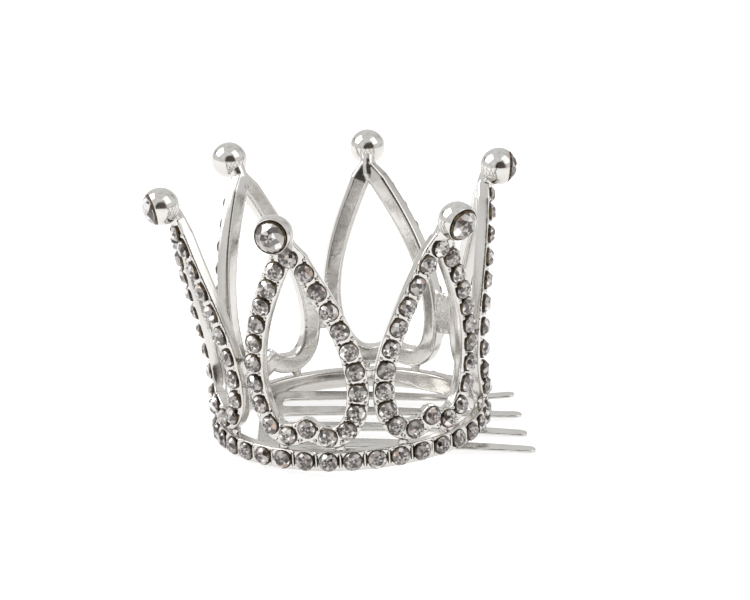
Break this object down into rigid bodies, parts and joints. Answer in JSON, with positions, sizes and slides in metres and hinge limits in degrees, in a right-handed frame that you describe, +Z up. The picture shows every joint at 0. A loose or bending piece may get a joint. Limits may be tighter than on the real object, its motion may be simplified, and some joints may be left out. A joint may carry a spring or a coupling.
{
  "type": "miniature crown hair comb",
  "caption": "Small silver-plated crown of pointed openwork lobes on a ring band, set with clear crystals, with a ball-mounted crystal on each tip, soldered to a stamped steel hair comb.",
  "frame": {"origin": "centre of the bounding box at the level of the surface that the crown rests on", "axes": "+Z up as it stands, +X towards the tips of the comb, -Y towards the front; the crown's own axis leans 3.2 degrees towards -X, because it rests on the band's left edge and on the comb's tips"},
  "size_m": [0.0498, 0.0482, 0.0377],
  "materials": {
    "silver_plate": "bright silver plate over a cast white-metal alloy, polished, with soft casting ripples",
    "comb_steel": "plated stamped spring steel, smooth, with fine lengthwise drawing marks",
    "solder": "bright tin solder under the plating, slightly lumpy",
    "small_crystal": "clear faceted glass, foil-backed, in dark-edged cups",
    "tip_crystal": "clear faceted glass, foil-backed"
  },
  "bodies": {
    "root": {"base_band": "silver_plate", "stone_row_band": "small_crystal", "lobe_front_left": "silver_plate", "stone_row_front_left": "small_crystal", "ball_cup_front_left": "silver_plate", "tip_stone_front_left": "tip_crystal", "shoulder_solder_front_left": "solder", "lobe_front_right": "silver_plate", "stone_row_front_right": "small_crystal", "ball_cup_front_right": "silver_plate", "tip_stone_front_right": "tip_crystal", "shoulder_solder_front_right": "solder", "lobe_right": "silver_plate", "stone_row_right": "small_crystal", "ball_cup_right": "silver_plate", "tip_stone_right": "tip_crystal", "shoulder_solder_right": "solder", "lobe_rear": "silver_plate", "stone_row_rear": "small_crystal", "ball_cup_rear": "silver_plate", "tip_stone_rear": "tip_crystal", "shoulder_solder_rear": "solder", "lobe_rear_left": "silver_plate", "stone_row_rear_left": "small_crystal", "ball_cup_rear_left": "silver_plate", "tip_stone_rear_left": "tip_crystal", "shoulder_solder_rear_left": "solder", "lobe_left": "silver_plate", "stone_row_left": "small_crystal", "ball_cup_left": "silver_plate", "tip_stone_left": "tip_crystal", "shoulder_solder_left": "solder", "comb": "comb_steel", "comb_solder_front": "solder", "comb_solder_rear": "solder"}
  },
  "joints": []
}
